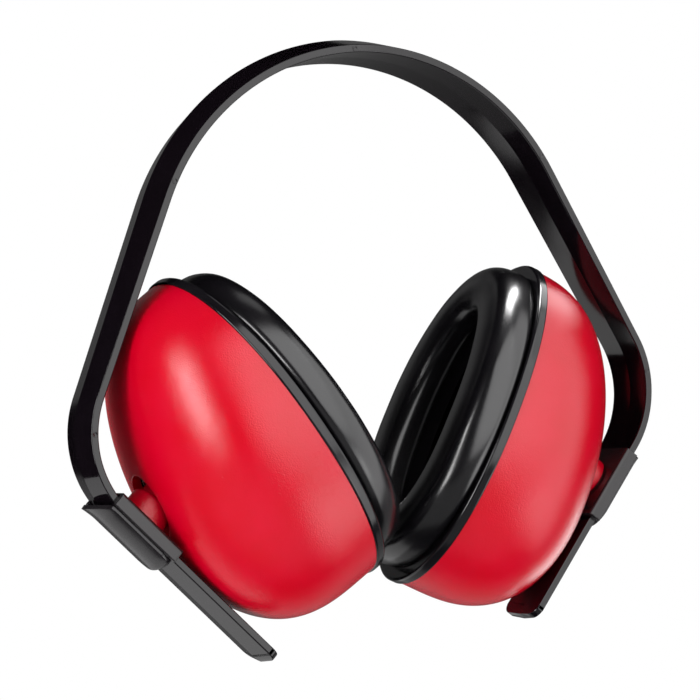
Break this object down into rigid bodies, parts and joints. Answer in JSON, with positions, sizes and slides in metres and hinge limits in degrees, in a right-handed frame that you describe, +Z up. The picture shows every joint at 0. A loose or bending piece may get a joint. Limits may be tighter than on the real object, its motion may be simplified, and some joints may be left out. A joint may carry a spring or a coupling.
{
  "type": "earmuff hearing protector",
  "caption": "Over-head hearing protector: sprung headband, two sliders, and oval ear cups with soft seals on ball studs.",
  "frame": {"origin": "outer face of the headband at its top centre, on the line of its edges", "axes": "+Z up along the wearer's head, X across the head from left cup to right cup as seen from the front, +Y away from the front"},
  "size_m": [0.1718, 0.0855, 0.1626],
  "materials": {
    "band_plastic": "gloss moulded polypropylene",
    "slider_plastic": "satin moulded nylon",
    "cup_plastic": "satin moulded ABS",
    "nylon": "natural nylon",
    "acoustic_foam": "open cell foam",
    "seal_plastic": "gloss moulded ABS",
    "cushion_vinyl": "gloss PVC film",
    "cushion_foam": "soft polyurethane foam"
  },
  "bodies": {
    "headband": {"headband": "band_plastic"},
    "left_slider": {"left_slider_sleeve": "slider_plastic", "left_slider_cover": "slider_plastic"},
    "left_stud": {"left_ball_stud": "cup_plastic"},
    "left_seat": {"left_ball_seat": "nylon"},
    "left_cup": {"left_cup_shell": "cup_plastic", "left_socket_cap": "nylon", "left_foam_liner": "acoustic_foam", "left_seal_plate": "seal_plastic", "left_cushion_backing": "seal_plastic", "left_cushion_skin": "cushion_vinyl", "left_cushion_foam": "cushion_foam"},
    "right_slider": {"right_slider_sleeve": "slider_plastic", "right_slider_cover": "slider_plastic"},
    "right_stud": {"right_ball_stud": "cup_plastic"},
    "right_seat": {"right_ball_seat": "nylon"},
    "right_cup": {"right_cup_shell": "cup_plastic", "right_socket_cap": "nylon", "right_foam_liner": "acoustic_foam", "right_seal_plate": "seal_plastic", "right_cushion_backing": "seal_plastic", "right_cushion_skin": "cushion_vinyl", "right_cushion_foam": "cushion_foam"}
  },
  "joints": [
    {"name": "left_slide", "type": "slide", "parent": "headband", "child": "left_slider", "axis": [0.662, 0, -0.7495], "range_m": [0, 0.002]},
    {"name": "left_spin", "type": "hinge", "parent": "left_slider", "child": "left_stud", "pos_m": [-0.05845, 0, -0.10799], "axis": [-0.7495, 0, -0.662], "range_deg": [-70, 35]},
    {"name": "left_pitch", "type": "hinge", "parent": "left_stud", "child": "left_seat", "pos_m": [-0.05845, 0, -0.10799], "axis": [0, 1, 0], "range_deg": [-3.5, 0.5]},
    {"name": "left_yaw", "type": "hinge", "parent": "left_seat", "child": "left_cup", "pos_m": [-0.05845, 0, -0.10799], "axis": [-0.5068, 0, 0.8621], "range_deg": [-5.5, 11]},
    {"name": "right_slide", "type": "slide", "parent": "headband", "child": "right_slider", "axis": [-0.662, 0, -0.7495], "range_m": [-0.0065, 0.002]},
    {"name": "right_spin", "type": "hinge", "parent": "right_slider", "child": "right_stud", "pos_m": [0.05388, 0, -0.11316], "axis": [0.7495, 0, -0.662], "range_deg": [-90, 80]},
    {"name": "right_pitch", "type": "hinge", "parent": "right_stud", "child": "right_seat", "pos_m": [0.05388, 0, -0.11316], "axis": [0, 1, 0], "range_deg": [-0.8, 3]},
    {"name": "right_yaw", "type": "hinge", "parent": "right_seat", "child": "right_cup", "pos_m": [0.05388, 0, -0.11316], "axis": [0.5068, 0, 0.8621], "range_deg": [-0.8, 16]}
  ]
}
